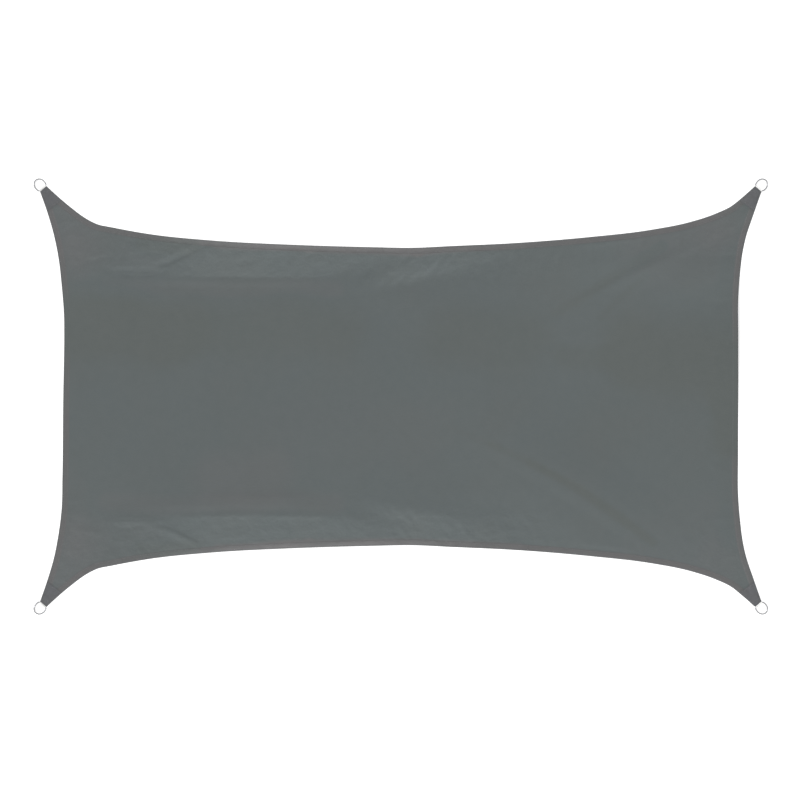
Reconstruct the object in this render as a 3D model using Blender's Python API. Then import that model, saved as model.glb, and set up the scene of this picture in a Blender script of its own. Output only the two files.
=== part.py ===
"""A rectangular shade sail with a ring at each corner, lying face up with low folds.

Metres. X runs along the long sides, Y towards the rear one and Z up. The origin is on the floor,
under the middle of the sail. A tip's own frame has "out" pointing from the cloth to its ring.
"""

import math
from collections import namedtuple

import bmesh
import bpy
import numpy as np
from mathutils import Matrix, Vector

# Cloth outline: the middle of each tip's straight end, its width, and how far it turns from X
TIP_X = 2.436
TIP_Y = 1.416
TIP_WIDTH = 0.057
TIP_TURN = math.radians(41)

# Points between two tips: x, y. The front edge is the rear one mirrored, and so is the right
# edge's front half. The edge is a smooth curve through them.
REAR_EDGE = [
    (-2.247, 1.288), (-2.140, 1.210), (-2.065, 1.173), (-1.975, 1.154), (-1.700, 1.105),
    (-1.290, 1.063), (-0.750, 1.034), (-0.200, 1.0175), (0.085, 1.013), (0.340, 1.025),
    (0.750, 1.044), (1.290, 1.087), (1.700, 1.135), (1.975, 1.190), (2.150, 1.248),
    (2.255, 1.299), (2.320, 1.351),
]  # fmt: skip
LEFT_EDGE = [
    (-2.3985, 1.2275), (-2.3632, 1.103), (-2.331, 0.943), (-2.3085, 0.745), (-2.2935, 0.540),
    (-2.2925, 0.430), (-2.299, 0.0), (-2.3045, -0.545), (-2.3105, -0.770), (-2.334, -0.955),
    (-2.365, -1.110), (-2.400, -1.230),
]  # fmt: skip
RIGHT_EDGE_REAR_HALF = [
    (2.405, 1.247), (2.350, 1.081), (2.331, 0.995), (2.311, 0.840), (2.2985, 0.680),
    (2.2975, 0.400), (2.299, 0.0),
]  # fmt: skip

# Cloth, with a folded hem that lies double, and the gap between pieces that touch
CLOTH = 0.002
HEM = 0.0035
HEM_WIDTH = 0.038
HEM_STEP = 0.0015  # the hem reaches its full height this far from its inner line
GAP = 0.0003

# Low folds in which the cloth lifts off the floor. x1, y1 to x2, y2 is the foot of the crest,
# which bows to its left by bow. left and right are the widths of the flanks on either side.
Fold = namedtuple("Fold", "x1 y1 x2 y2 bow left right rise")
FOLDS = [
    Fold(-2.05, 0.78, -0.05, 0.74, 0.02, 0.26, 0.62, 0.026),  # along the rear hem, left
    Fold(-0.30, 0.62, 0.85, 0.90, 0.03, 0.20, 0.50, 0.020),  # towards the rear hem, middle
    Fold(0.95, 0.50, 2.75, 0.44, 0.05, 0.40, 0.62, 0.022),  # across the right end, rear
    Fold(0.90, 0.55, 2.05, 1.13, 0.00, 0.24, 0.13, 0.011),  # to the rear right tip
    Fold(0.10, 0.02, 1.92, -1.07, 0.04, 0.34, 0.16, 0.014),  # to the front right tip
    Fold(-1.60, -0.52, 0.30, -0.46, 0.03, 0.42, 0.24, 0.015),  # middle, front
    Fold(-2.05, -0.78, -0.05, -0.74, -0.02, 0.34, 0.26, 0.022),  # along the front hem, left
    Fold(-0.30, -0.64, 0.85, -0.90, -0.03, 0.34, 0.20, 0.018),  # towards the front hem
    Fold(-2.10, 0.86, -1.15, 1.02, 0.00, 0.14, 0.14, 0.009),  # from the rear left tip
    Fold(-2.10, -0.86, -1.15, -1.02, 0.00, 0.14, 0.14, 0.009),  # from the front left tip
]
FLAT_TIP = 0.22  # the cloth is flat this far from a tip
FULL_TIP = 0.50  # and its folds have their full height from here on

# Cells of the sheet between the hems, which are smaller towards the tips, and how finely an edge
# is drawn before it is trimmed
CELLS_X = 52
CELLS_Y = 28
CROWDING = 0.4
FINE = 900

# Patch sewn over each tip
PATCH = 0.0015
PATCH_LENGTH = 0.145
PATCH_INSET = 0.002  # from the cloth's edges
PATCH_PINCH = 0.0005  # least distance between two places across a patch

# Webbing loop round each ring's bar, and its double tail between the cloth and the patch
WEBBING = 0.0015
WEBBING_WIDTH = 0.054
LOOP_INNER = 0.0042
LOOP_OUTER = LOOP_INNER + WEBBING
LOOP_OUT = 0.0063  # from the cloth's end to the bar's axis
LOOP_STEPS = 16
TAIL_LENGTH = 0.040
TAIL_LOW = HEM + GAP
TAIL_HIGH = TAIL_LOW + 2 * WEBBING

# The patch lies over the tail, and comes down past its end and beside it
OVER_LENGTH = TAIL_LENGTH + 0.004
OVER_HALF = WEBBING_WIDTH / 2 + 0.001
DOWN_LENGTH = 0.022
DOWN_WIDTH = 0.006

# Ring of round wire, D-shaped on its centre line
WIRE = 0.0075
BAR_HALF = 0.0275
RING_HEIGHT = 0.070
CORNER_RADIUS = 0.0075
LEG_RADIUS = 0.087
LEG_LEAN = math.radians(14)

# sRGB colours
CLOTH_GREY = (102, 106, 107)
PATCH_GREY = (98, 101, 104)
WEBBING_GREY = (226, 226, 224)
STEEL_GREY = (205, 206, 208)

Tip = namedtuple("Tip", "name side end")  # side is -1 on the left, end is -1 at the front
TIPS = [
    Tip("rear_left", -1, 1),
    Tip("rear_right", 1, 1),
    Tip("front_left", -1, -1),
    Tip("front_right", 1, -1),
]


def clear_scene():
    for old in list(bpy.data.objects):
        bpy.data.objects.remove(old, do_unlink=True)


def material(name, srgb, roughness, metallic=0.0):
    def linear(value):
        value /= 255
        return value / 12.92 if value <= 0.04045 else ((value + 0.055) / 1.055) ** 2.4

    made = bpy.data.materials.new(name)
    made.use_nodes = True
    shader = made.node_tree.nodes["Principled BSDF"]
    shader.inputs["Base Color"].default_value = (*map(linear, srgb), 1.0)
    shader.inputs["Roughness"].default_value = roughness
    shader.inputs["Metallic"].default_value = metallic
    return made


def add_object(name, data, finish):
    made = bpy.data.objects.new(name, data)
    bpy.context.scene.collection.objects.link(made)
    data.materials.append(finish)
    return made


def mesh_from(bm, name):
    bmesh.ops.recalc_face_normals(bm, faces=bm.faces)
    mesh = bpy.data.meshes.new(name)
    bm.to_mesh(mesh)
    bm.free()
    mesh.shade_smooth()
    mesh.set_sharp_from_angle(angle=math.radians(35))
    return mesh


# Curves in plan


def smooth_curve(points):
    """A smooth curve through the points, finely drawn at even steps."""
    points = np.array(points)
    runs = np.diff(points, axis=0)
    spans = np.linalg.norm(runs, axis=1)[:, None]
    slopes = runs / spans
    tangents = np.empty_like(points)
    tangents[1:-1] = slopes[:-1] * spans[1:] + slopes[1:] * spans[:-1]
    tangents[1:-1] /= spans[:-1] + spans[1:]
    tangents[0] = 1.5 * slopes[0] - 0.5 * tangents[1]
    tangents[-1] = 1.5 * slopes[-1] - 0.5 * tangents[-2]
    knots = np.concatenate([[0], np.cumsum(spans)])
    places = np.linspace(0, knots[-1], FINE)
    part = np.clip(np.searchsorted(knots, places, side="right") - 1, 0, len(spans) - 1)
    span = spans[part]
    t = (places - knots[part])[:, None] / span
    return (
        (2 * t**3 - 3 * t**2 + 1) * points[part]
        + (t**3 - 2 * t**2 + t) * span * tangents[part]
        + (3 * t**2 - 2 * t**3) * points[part + 1]
        + (t**3 - t**2) * span * tangents[part + 1]
    )


def lengths_along(curve):
    steps = np.linalg.norm(np.diff(curve, axis=0), axis=1)
    return np.concatenate([[0], np.cumsum(steps)])


def points_at(curve, distances):
    travelled = lengths_along(curve)
    return np.stack([np.interp(distances, travelled, curve[:, axis]) for axis in (0, 1)], axis=-1)


def crowded_to_ends(curve, count):
    share = np.linspace(0, 1, count)
    share -= CROWDING * np.sin(2 * math.pi * share) / (2 * math.pi)
    return points_at(curve, share * lengths_along(curve)[-1])


def shifted_left(curve, distance):
    tangents = np.gradient(curve, axis=0)
    tangents /= np.linalg.norm(tangents, axis=1)[:, None]
    return curve + distance * np.stack([-tangents[:, 1], tangents[:, 0]], axis=1)


def crossing(first, second):
    """Where two finely drawn curves meet, as an index into each."""
    gaps = np.linalg.norm(first[:, None] - second[None], axis=2)
    return np.unravel_index(gaps.argmin(), gaps.shape)


def tip_middle(side, end):
    return np.array([side * TIP_X, end * TIP_Y])


def tip_corner(side, end, on_long_edge):
    """An end of a tip's straight end: the one on its long edge, or the one on its short edge."""
    half = TIP_WIDTH / 2 if on_long_edge else -TIP_WIDTH / 2
    step = np.array([-side * math.cos(TIP_TURN), end * math.sin(TIP_TURN)])
    return tip_middle(side, end) + half * step


def cloth_edges():
    """The four edges in turn, anticlockwise: front, right, rear and left."""
    mirrored = [(x, -y) for x, y in RIGHT_EDGE_REAR_HALF[:-1]]
    front = [(x, -y) for x, y in REAR_EDGE]
    right = mirrored + RIGHT_EDGE_REAR_HALF[::-1]
    return [
        smooth_curve([tip_corner(-1, -1, True), *front, tip_corner(1, -1, True)]),
        smooth_curve([tip_corner(1, -1, False), *right, tip_corner(1, 1, False)]),
        smooth_curve([tip_corner(1, 1, True), *REAR_EDGE[::-1], tip_corner(-1, 1, True)]),
        smooth_curve([tip_corner(-1, 1, False), *LEFT_EDGE, tip_corner(-1, -1, False)]),
    ]


def hem_lines(edges):
    """The hem's inner line along each edge, trimmed where two lines meet inside a tip."""
    shifted = [shifted_left(edge, HEM_WIDTH) for edge in edges]
    ends = [crossing(shifted[k], shifted[(k + 1) % 4]) for k in range(4)]
    corners = [shifted[k][ends[k][0]] for k in range(4)]
    lines = []
    for k in range(4):
        first = ends[k - 1][1]
        last = ends[k][0]
        inside = shifted[k][first + 1 : last]
        lines.append(np.vstack([corners[k - 1], inside, corners[k]]))
    return lines


def grid_between(front, right, rear, left):
    """A grid of points that fits four edges, all given anticlockwise."""
    rear = rear[::-1]
    left = left[::-1]
    u = np.linspace(0, 1, len(front))[:, None, None]
    v = np.linspace(0, 1, len(left))[None, :, None]
    along = (1 - v) * front[:, None] + v * rear[:, None]
    across = (1 - u) * left[None] + u * right[None]
    corners = (1 - v) * ((1 - u) * front[0] + u * front[-1]) + v * ((1 - u) * rear[0] + u * rear[-1])
    return along + across - corners


# Heights


def smooth_step(value, low, high):
    t = np.clip((value - low) / (high - low), 0, 1)
    return t * t * (3 - 2 * t)


def lift(points):
    """How far the cloth's underside is off the floor."""
    points = np.asarray(points)
    height = np.zeros(points.shape[:-1])
    for fold in FOLDS:
        start = np.array([fold.x1, fold.y1])
        run = np.array([fold.x2, fold.y2]) - start
        length = np.linalg.norm(run)
        along = run / length
        across = np.array([-along[1], along[0]])
        t = np.clip((points - start) @ along / length, 0, 1)
        crest = 4 * t * (1 - t)
        off = (points - start) @ across - fold.bow * crest
        flank = np.clip(np.abs(off) / np.where(off > 0, fold.left, fold.right), 0, 1)
        height += fold.rise * crest**1.5 * (1 - flank**2) ** 2
    for tip in TIPS:
        away = np.linalg.norm(points - tip_middle(tip.side, tip.end), axis=-1)
        height = height * smooth_step(away, FLAT_TIP, FULL_TIP)
    return height


# Pieces


def build_cloth(edges, finish):
    cells = [CELLS_X, CELLS_Y, CELLS_X, CELLS_Y]
    outer = [crowded_to_ends(edge, n + 1) for edge, n in zip(edges, cells)]
    inner = [crowded_to_ends(line, n + 1) for line, n in zip(hem_lines(edges), cells)]
    grid = grid_between(*inner)
    ends = [tip_middle(1, -1), tip_middle(1, 1), tip_middle(-1, 1), tip_middle(-1, -1)]

    bm = bmesh.new()

    def add(place, thickness):
        return bm.verts.new((*place, float(lift(place)) + thickness))

    def layer(thickness):
        return [[add(place, thickness) for place in column] for column in grid]

    def round_rim(rows):
        """The rim of a layer as four runs, which share their corners."""
        front = [column[0] for column in rows]
        rear = [column[-1] for column in rows][::-1]
        return [front, list(rows[-1]), rear, list(rows[0])[::-1]]

    top = layer(CLOTH)
    bottom = layer(0)
    for rows in (top, bottom):
        for i in range(CELLS_X):
            for j in range(CELLS_Y):
                bm.faces.new((rows[i][j], rows[i + 1][j], rows[i + 1][j + 1], rows[i][j + 1]))

    # The hem's step up, just outside the rim of the single cloth
    step_corners = []
    for k in range(4):
        towards = ends[k] - inner[k][-1]
        place = inner[k][-1] + HEM_STEP * towards / np.linalg.norm(towards)
        step_corners.append(add(place, HEM))
    steps = []
    for k in range(4):
        run = outer[k] - inner[k]
        places = inner[k] + HEM_STEP * run / np.linalg.norm(run, axis=1)[:, None]
        between = [add(place, HEM) for place in places[1:-1]]
        steps.append([step_corners[k - 1], *between, step_corners[k]])

    high = [[add(place, HEM) for place in run] for run in outer]
    low = [[add(place, 0) for place in run] for run in outer]
    top_rim = round_rim(top)
    bottom_rim = round_rim(bottom)
    for k in range(4):
        for first, second in (
            (top_rim[k], steps[k]),
            (steps[k], high[k]),
            (high[k], low[k]),
            (low[k], bottom_rim[k]),
        ):
            for i in range(cells[k]):
                bm.faces.new((first[i], first[i + 1], second[i + 1], second[i]))
        following = (k + 1) % 4
        bm.faces.new((step_corners[k], high[k][-1], high[following][0]))
        bm.faces.new((bottom_rim[k][-1], low[k][-1], low[following][0]))
        bm.faces.new((high[k][-1], high[following][0], low[following][0], low[k][-1]))
    return add_object("sail_cloth", mesh_from(bm, "sail_cloth"), finish)


def edges_from_tip(edges, tip):
    """The long and the short edge that meet at a tip, both drawn away from it."""
    front, right, rear, left = edges
    long_edge = front if tip.end < 0 else rear
    short_edge = left if tip.side < 0 else right
    middle = tip_middle(tip.side, tip.end)
    drawn = []
    for edge in (long_edge, short_edge):
        starts_here = np.linalg.norm(edge[0] - middle) < np.linalg.norm(edge[-1] - middle)
        drawn.append(edge if starts_here else edge[::-1])
    return drawn


def patch_row(long_edge, short_edge, distance, tip):
    """Five places across a patch: its sides, just outside the webbing's sides, and the middle."""
    outer = points_at(long_edge, distance)
    run = points_at(short_edge, distance) - outer
    inset = PATCH_INSET * run / np.linalg.norm(run)
    row = [outer + inset, outer + run - inset]
    sides = [across_tip(place, tip) for place in row]
    inner = [
        min(OVER_HALF, sides[0] - PATCH_PINCH),
        0,
        max(-OVER_HALF, sides[1] + PATCH_PINCH),
    ]
    share = (np.array(inner) - sides[0]) / (sides[1] - sides[0])
    return [row[0], *(row[0] + share[:, None] * (row[1] - row[0])), row[1]]


def across_tip(place, tip):
    """How far a place is from a tip's axis, positive towards the long edge."""
    towards = np.array([-tip.side * math.cos(TIP_TURN), tip.end * math.sin(TIP_TURN)])
    return (place - tip_middle(tip.side, tip.end)) @ towards


def build_patch(edges, tip, finish):
    long_edge, short_edge = edges_from_tip(edges, tip)
    down = OVER_LENGTH + DOWN_LENGTH
    distances = [
        *np.linspace(PATCH_INSET, OVER_LENGTH, 4),
        *np.linspace(OVER_LENGTH, down, 5)[1:],
        *np.linspace(down, PATCH_LENGTH, 4)[1:],
    ]
    bm = bmesh.new()
    top = []
    bottom = []
    for distance in distances:
        row = patch_row(long_edge, short_edge, distance, tip)
        past = smooth_step(distance, OVER_LENGTH, down)
        heights = []
        for place in row:
            off = abs(across_tip(place, tip))
            beside = smooth_step(off, OVER_HALF, OVER_HALF + DOWN_WIDTH)
            over = (1 - past) * (1 - beside)
            heights.append(TAIL_LOW + over * (TAIL_HIGH + GAP - TAIL_LOW))
        bottom.append([bm.verts.new((*place, up)) for place, up in zip(row, heights)])
        top.append([bm.verts.new((*place, up + PATCH)) for place, up in zip(row, heights)])
    for rows in (top, bottom):
        for i in range(len(rows) - 1):
            for j in range(len(rows[0]) - 1):
                bm.faces.new((rows[i][j], rows[i + 1][j], rows[i + 1][j + 1], rows[i][j + 1]))
    for high, low in (
        (top[0], bottom[0]),
        (top[-1], bottom[-1]),
        ([row[0] for row in top], [row[0] for row in bottom]),
        ([row[-1] for row in top], [row[-1] for row in bottom]),
    ):
        for i in range(len(high) - 1):
            bm.faces.new((high[i], high[i + 1], low[i + 1], low[i]))
    name = f"patch_{tip.name}"
    return add_object(name, mesh_from(bm, name), finish)


def tip_frame(tip, out, height):
    """Places local X across the tip, Y out along it and Z up, at a distance out of the cloth."""
    outwards = Vector((tip.side * math.sin(TIP_TURN), tip.end * math.cos(TIP_TURN), 0))
    place = Vector((*tip_middle(tip.side, tip.end), height)) + out * outwards
    across = outwards.cross(Vector((0, 0, 1)))
    turn = Matrix((across, outwards, Vector((0, 0, 1)))).transposed().to_4x4()
    return Matrix.Translation(place) @ turn


def loop_outlines():
    """The webbing's side view as (out, up) from the bar's axis: its outline and its eye."""
    low = TAIL_LOW - LOOP_OUTER
    high = TAIL_HIGH - LOOP_OUTER
    mouth = -LOOP_OUT
    tail = -LOOP_OUT - TAIL_LENGTH

    def touching_angle(up):
        """The direction in which a line from the mouth at this height touches the loop."""
        reach = math.hypot(mouth, up)
        return math.atan2(up, mouth), math.acos(LOOP_OUTER / reach)

    high_way, high_turn = touching_angle(high)
    low_way, low_turn = touching_angle(low)
    first = high_way - high_turn
    last = low_way + low_turn - (2 * math.pi if low_way + low_turn > first else 0)
    outline = [(tail, low), (tail, high), (mouth, high)]
    for angle in np.linspace(first, last, LOOP_STEPS):
        outline.append((LOOP_OUTER * math.cos(angle), LOOP_OUTER * math.sin(angle)))
    outline.append((mouth, low))
    turns = np.linspace(0, 2 * math.pi, LOOP_STEPS, endpoint=False)
    eye = [(LOOP_INNER * math.cos(turn), LOOP_INNER * math.sin(turn)) for turn in turns]
    return outline, eye


def build_webbing(tip, finish):
    name = f"webbing_{tip.name}"
    curve = bpy.data.curves.new(name, "CURVE")
    curve.dimensions = "2D"
    curve.fill_mode = "BOTH"
    curve.extrude = WEBBING_WIDTH / 2
    for outline in loop_outlines():
        spline = curve.splines.new("POLY")
        spline.points.add(len(outline) - 1)
        spline.use_cyclic_u = True
        for point, place in zip(spline.points, outline):
            point.co = (*place, 0, 1)
    made = add_object(name, curve, finish)
    on_edge = Matrix(((0, 0, 1), (1, 0, 0), (0, 1, 0))).to_4x4()
    made.matrix_world = tip_frame(tip, LOOP_OUT, LOOP_OUTER) @ on_edge
    return made


def ring_half():
    """The ring's centre line from its bar's end to its crown, as (across, out) from the bar."""
    line = []

    def arc(middle, radii, start, end, steps):
        for angle in np.linspace(start, end, steps):
            line.append((middle[0] + radii[0] * math.cos(angle), middle[1] + radii[1] * math.sin(angle)))

    quarter = math.pi / 2
    corner = (BAR_HALF, CORNER_RADIUS)
    arc(corner, (CORNER_RADIUS, CORNER_RADIUS), -quarter, -LEG_LEAN, 5)
    inwards = LEG_RADIUS - CORNER_RADIUS
    leg = (corner[0] - inwards * math.cos(LEG_LEAN), corner[1] + inwards * math.sin(LEG_LEAN))
    arc(leg, (LEG_RADIUS, LEG_RADIUS), -LEG_LEAN, 0, 4)
    half_width = line.pop()[0]
    arc((0, leg[1]), (half_width, RING_HEIGHT - leg[1]), 0, quarter, 9)
    return line


def build_ring(tip, finish):
    half = ring_half()
    line = half + [(-across, out) for across, out in half[-2::-1]]
    name = f"ring_{tip.name}"
    curve = bpy.data.curves.new(name, "CURVE")
    curve.dimensions = "3D"
    curve.bevel_depth = WIRE / 2
    curve.bevel_resolution = 3
    spline = curve.splines.new("POLY")
    spline.points.add(len(line) - 1)
    spline.use_cyclic_u = True
    for point, place in zip(spline.points, line):
        point.co = (*place, 0, 1)
    made = add_object(name, curve, finish)
    # The bar lies higher than the crown, which touches the floor.
    droop = math.asin((LOOP_OUTER - WIRE / 2) / RING_HEIGHT)
    made.matrix_world = tip_frame(tip, LOOP_OUT, LOOP_OUTER) @ Matrix.Rotation(-droop, 4, "X")
    return made


def main():
    clear_scene()
    cloth_finish = material("cloth", CLOTH_GREY, 0.85)
    patch_finish = material("patch", PATCH_GREY, 0.85)
    webbing_finish = material("webbing", WEBBING_GREY, 0.7)
    steel = material("steel", STEEL_GREY, 0.25, metallic=1.0)
    edges = cloth_edges()
    build_cloth(edges, cloth_finish)
    for tip in TIPS:
        build_patch(edges, tip, patch_finish)
        build_webbing(tip, webbing_finish)
        build_ring(tip, steel)


main()
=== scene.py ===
"""The looks of a rectangular shade sail, which lies face up with low folds.

Metres, in the frame of the solids: X along the long sides, Y towards the rear one and Z up.
"""

import math
import random
from collections import namedtuple

import bpy
import numpy as np
from mathutils import Matrix, Vector


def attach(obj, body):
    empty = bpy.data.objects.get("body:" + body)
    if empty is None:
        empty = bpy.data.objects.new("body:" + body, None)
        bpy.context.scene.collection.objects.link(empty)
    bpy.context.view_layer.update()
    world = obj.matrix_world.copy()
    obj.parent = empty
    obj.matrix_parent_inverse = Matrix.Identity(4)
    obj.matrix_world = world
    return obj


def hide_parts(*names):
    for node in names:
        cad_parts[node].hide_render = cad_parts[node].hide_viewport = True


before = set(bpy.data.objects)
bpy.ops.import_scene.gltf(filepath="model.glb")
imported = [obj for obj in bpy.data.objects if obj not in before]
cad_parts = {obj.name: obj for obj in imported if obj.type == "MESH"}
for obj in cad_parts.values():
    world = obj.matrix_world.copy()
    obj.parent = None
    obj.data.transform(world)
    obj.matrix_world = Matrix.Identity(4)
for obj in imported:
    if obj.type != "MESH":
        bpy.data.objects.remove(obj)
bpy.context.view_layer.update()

# The photograph's frame: its width in pixels and what lies in its middle
PHOTO_WIDTH = 800
PIXEL = 0.006813
SEEN_WIDTH = PHOTO_WIDTH * PIXEL
SEEN_MIDDLE = (-0.0051, -0.0238)
CAMERA_HEIGHT = 15.0
CAMERA_REACH = 200.0

# Cloth outline, as in the solids
TIP_X = 2.436
TIP_Y = 1.416
TIP_WIDTH = 0.057
TIP_TURN = math.radians(41)
REAR_EDGE = [
    (-2.247, 1.288), (-2.140, 1.210), (-2.065, 1.173), (-1.975, 1.154), (-1.700, 1.105),
    (-1.290, 1.063), (-0.750, 1.034), (-0.200, 1.0175), (0.085, 1.013), (0.340, 1.025),
    (0.750, 1.044), (1.290, 1.087), (1.700, 1.135), (1.975, 1.190), (2.150, 1.248),
    (2.255, 1.299), (2.320, 1.351),
]  # fmt: skip
LEFT_EDGE = [
    (-2.3985, 1.2275), (-2.3632, 1.103), (-2.331, 0.943), (-2.3085, 0.745), (-2.2935, 0.540),
    (-2.2925, 0.430), (-2.299, 0.0), (-2.3045, -0.545), (-2.3105, -0.770), (-2.334, -0.955),
    (-2.365, -1.110), (-2.400, -1.230),
]  # fmt: skip
RIGHT_EDGE_REAR_HALF = [
    (2.405, 1.247), (2.350, 1.081), (2.331, 0.995), (2.311, 0.840), (2.2985, 0.680),
    (2.2975, 0.400), (2.299, 0.0),
]  # fmt: skip
FINE = 900  # points along each edge's curve

# Cloth and its folded hem. The hem's section runs from the panel over its inner step and its
# top, round the edge and under, as distance from the edge and height. It dips at its two rows
# of stitches.
CLOTH = 0.002
HEM_TOP = 0.0028
HEM_WIDTH = 0.038
OUTER_ROW = 0.0065
INNER_ROW = 0.0335
GAP = 0.0003
PANEL_IN = 0.046
HEM_SECTION = [
    (0.0410, CLOTH), (0.0384, CLOTH), (0.0378, 0.0021), (0.0369, 0.0024), (0.0358, 0.0025),
    (0.0345, 0.0025), (INNER_ROW, 0.0023), (0.0325, 0.0025), (0.0270, 0.0027), (0.0160, HEM_TOP),
    (0.0080, HEM_TOP), (OUTER_ROW, 0.0026), (0.0050, 0.0027), (0.0022, 0.0025), (0.0006, 0.0020),
    (0.0000, 0.0012), (0.0007, 0.0004), (0.0025, 0.0000),
]  # fmt: skip
TOP_ROWS = 15  # this many of them lie on the upper side
SETTLE_WIDTH = 0.02  # over this width inside the hem a patch comes down to the cloth

# Low folds, as in the solids
Fold = namedtuple("Fold", "x1 y1 x2 y2 bow left right rise")
FOLDS = [
    Fold(-2.05, 0.78, -0.05, 0.74, 0.02, 0.26, 0.62, 0.026),
    Fold(-0.30, 0.62, 0.85, 0.90, 0.03, 0.20, 0.50, 0.020),
    Fold(0.95, 0.50, 2.75, 0.44, 0.05, 0.40, 0.62, 0.022),
    Fold(0.90, 0.55, 2.05, 1.13, 0.00, 0.24, 0.13, 0.011),
    Fold(0.10, 0.02, 1.92, -1.07, 0.04, 0.34, 0.16, 0.014),
    Fold(-1.60, -0.52, 0.30, -0.46, 0.03, 0.42, 0.24, 0.015),
    Fold(-2.05, -0.78, -0.05, -0.74, -0.02, 0.34, 0.26, 0.022),
    Fold(-0.30, -0.64, 0.85, -0.90, -0.03, 0.34, 0.20, 0.018),
    Fold(-2.10, 0.86, -1.15, 1.02, 0.00, 0.14, 0.14, 0.009),
    Fold(-2.10, -0.86, -1.15, -1.02, 0.00, 0.14, 0.14, 0.009),
]
FLAT_TIP = 0.22
FULL_TIP = 0.50

# Finer creases, each a soft ridge with its own two flanks, as the folds have. The first table
# holds in both halves.
MIRRORED_CREASES = [
    # The long fold beside the left half of the edge: its crest, its far end and its foot
    Fold(-1.85, 0.795, -0.28, 0.800, -0.004, 0.050, 0.060, 0.0026),
    Fold(-1.90, 0.790, -0.16, 0.790, 0.000, 0.100, 0.120, 0.0048),
    Fold(-2.00, 0.815, -1.10, 0.835, 0.000, 0.130, 0.090, 0.0048),
    Fold(-0.85, 0.740, 0.36, 0.880, 0.012, 0.175, 0.300, 0.0098),
    Fold(-1.95, 1.058, 0.56, 0.966, -0.022, 0.076, 0.300, 0.0104),
    # Creases at its left end
    Fold(-2.05, 0.795, -1.30, 0.800, 0.000, 0.260, 0.340, -0.0058),
    Fold(-2.10, 0.860, -1.15, 1.020, 0.000, 0.140, 0.140, -0.0052),
    Fold(-1.77, 0.862, -1.32, 1.056, -0.030, 0.046, 0.024, 0.0030),
    Fold(-2.06, 0.848, -1.55, 0.838, 0.000, 0.050, 0.018, 0.0040),
    Fold(-2.24, 0.890, -1.98, 0.950, 0.000, 0.032, 0.026, 0.0020),
    Fold(-2.31, 1.300, -2.20, 0.560, 0.000, 0.085, 0.075, 0.0028),
    # The fold in the middle of the edge, with its crinkled flank
    Fold(-0.36, 0.650, 0.95, 0.965, 0.020, 0.060, 0.070, 0.0010),
    Fold(-0.45, 0.640, 0.74, 0.900, 0.020, 0.110, 0.110, 0.0026),
    Fold(-0.75, 0.630, 0.48, 0.730, 0.000, 0.140, 0.300, 0.0082),
    Fold(0.00, 0.720, 0.95, 0.930, 0.020, 0.200, 0.300, -0.0050),
    Fold(-0.14, 0.782, 0.70, 0.915, 0.000, 0.120, 0.110, -0.0036),
    Fold(-0.16, 0.695, -0.02, 0.850, 0.010, 0.030, 0.026, 0.0015),
    Fold(-0.07, 0.700, 0.09, 0.870, 0.010, 0.028, 0.024, 0.0016),
    Fold(0.05, 0.725, 0.17, 0.890, -0.008, 0.028, 0.024, 0.0011),
    Fold(0.13, 0.755, 0.29, 0.930, 0.010, 0.030, 0.026, 0.0009),
    Fold(0.25, 0.800, 0.40, 0.980, 0.000, 0.030, 0.026, 0.0010),
    Fold(0.38, 0.840, 0.50, 0.990, 0.000, 0.030, 0.026, 0.0011),
    Fold(0.00, 0.890, 0.07, 0.990, 0.000, 0.020, 0.016, 0.0024),
    Fold(0.26, 0.880, 1.10, 0.968, 0.010, 0.065, 0.085, 0.0010),
    Fold(1.12, 0.982, 1.66, 1.045, 0.000, 0.035, 0.110, 0.0012),
]
CREASES = [
    Fold(0.90, 0.550, 2.05, 1.130, 0.000, 0.240, 0.130, -0.0070),
    Fold(1.05, 0.500, 2.20, 1.050, 0.000, 0.075, 0.180, 0.0034),
    Fold(1.00, 0.560, 1.98, 1.070, 0.020, 0.110, 0.026, 0.0008),
    Fold(0.02, -0.117, 1.84, -1.207, 0.040, 0.160, 0.420, 0.0116),
    Fold(-0.95, -0.350, 0.15, -0.320, 0.020, 0.070, 0.070, 0.0014),
]

# Soft bands of painted light and shade: where the cloth is a little darker and greener, to -1,
# it is painted shade, and where it is paler, to 1, painted light. The first table holds in both
# halves. The last bands are painted shade along creases.
# A band is full up to BAND_FULL of its half width and gone at BAND_GONE, and its outline wanders
# with X, as a sum of waves.
PaintedBand = namedtuple("PaintedBand", "x1 y1 x2 y2 half_width tone")
BAND_FULL = 0.35
BAND_GONE = 1.45
Wave = namedtuple("Wave", "size per_metre start")
BAND_WAVES = [Wave(0.035, 4.1, 1.3), Wave(0.02, 11.0, 0.4)]
WANDERING_WIDTH = 0.25  # narrower bands wander less
MIRRORED_PAINTED_BANDS = [
    PaintedBand(-2.24, 1.34, -2.24, 1.02, 0.22, 0.3),
    PaintedBand(-2.24, 1.02, -2.24, 0.62, 0.10, 0.1),
    PaintedBand(-2.15, 1.00, -1.75, 0.98, 0.16, 0.1),
    PaintedBand(1.70, 0.98, 2.10, 0.94, 0.28, 0.3),
    PaintedBand(2.17, 1.24, 2.17, 1.12, 0.16, 0.2),
    PaintedBand(-1.24, 1.046, -0.62, 1.016, 0.040, 1.0),
    PaintedBand(-0.62, 1.016, 0.12, 1.000, 0.040, 1.0),
    PaintedBand(0.12, 1.000, 0.80, 1.040, 0.036, 0.9),
    PaintedBand(-2.00, 0.725, -0.45, 0.725, 0.07, 0.25),
    PaintedBand(2.24, 1.00, 2.24, 0.50, 0.08, -0.15),
    PaintedBand(-1.76, 1.04, -1.42, 1.03, 0.06, -0.6),
]
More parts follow.
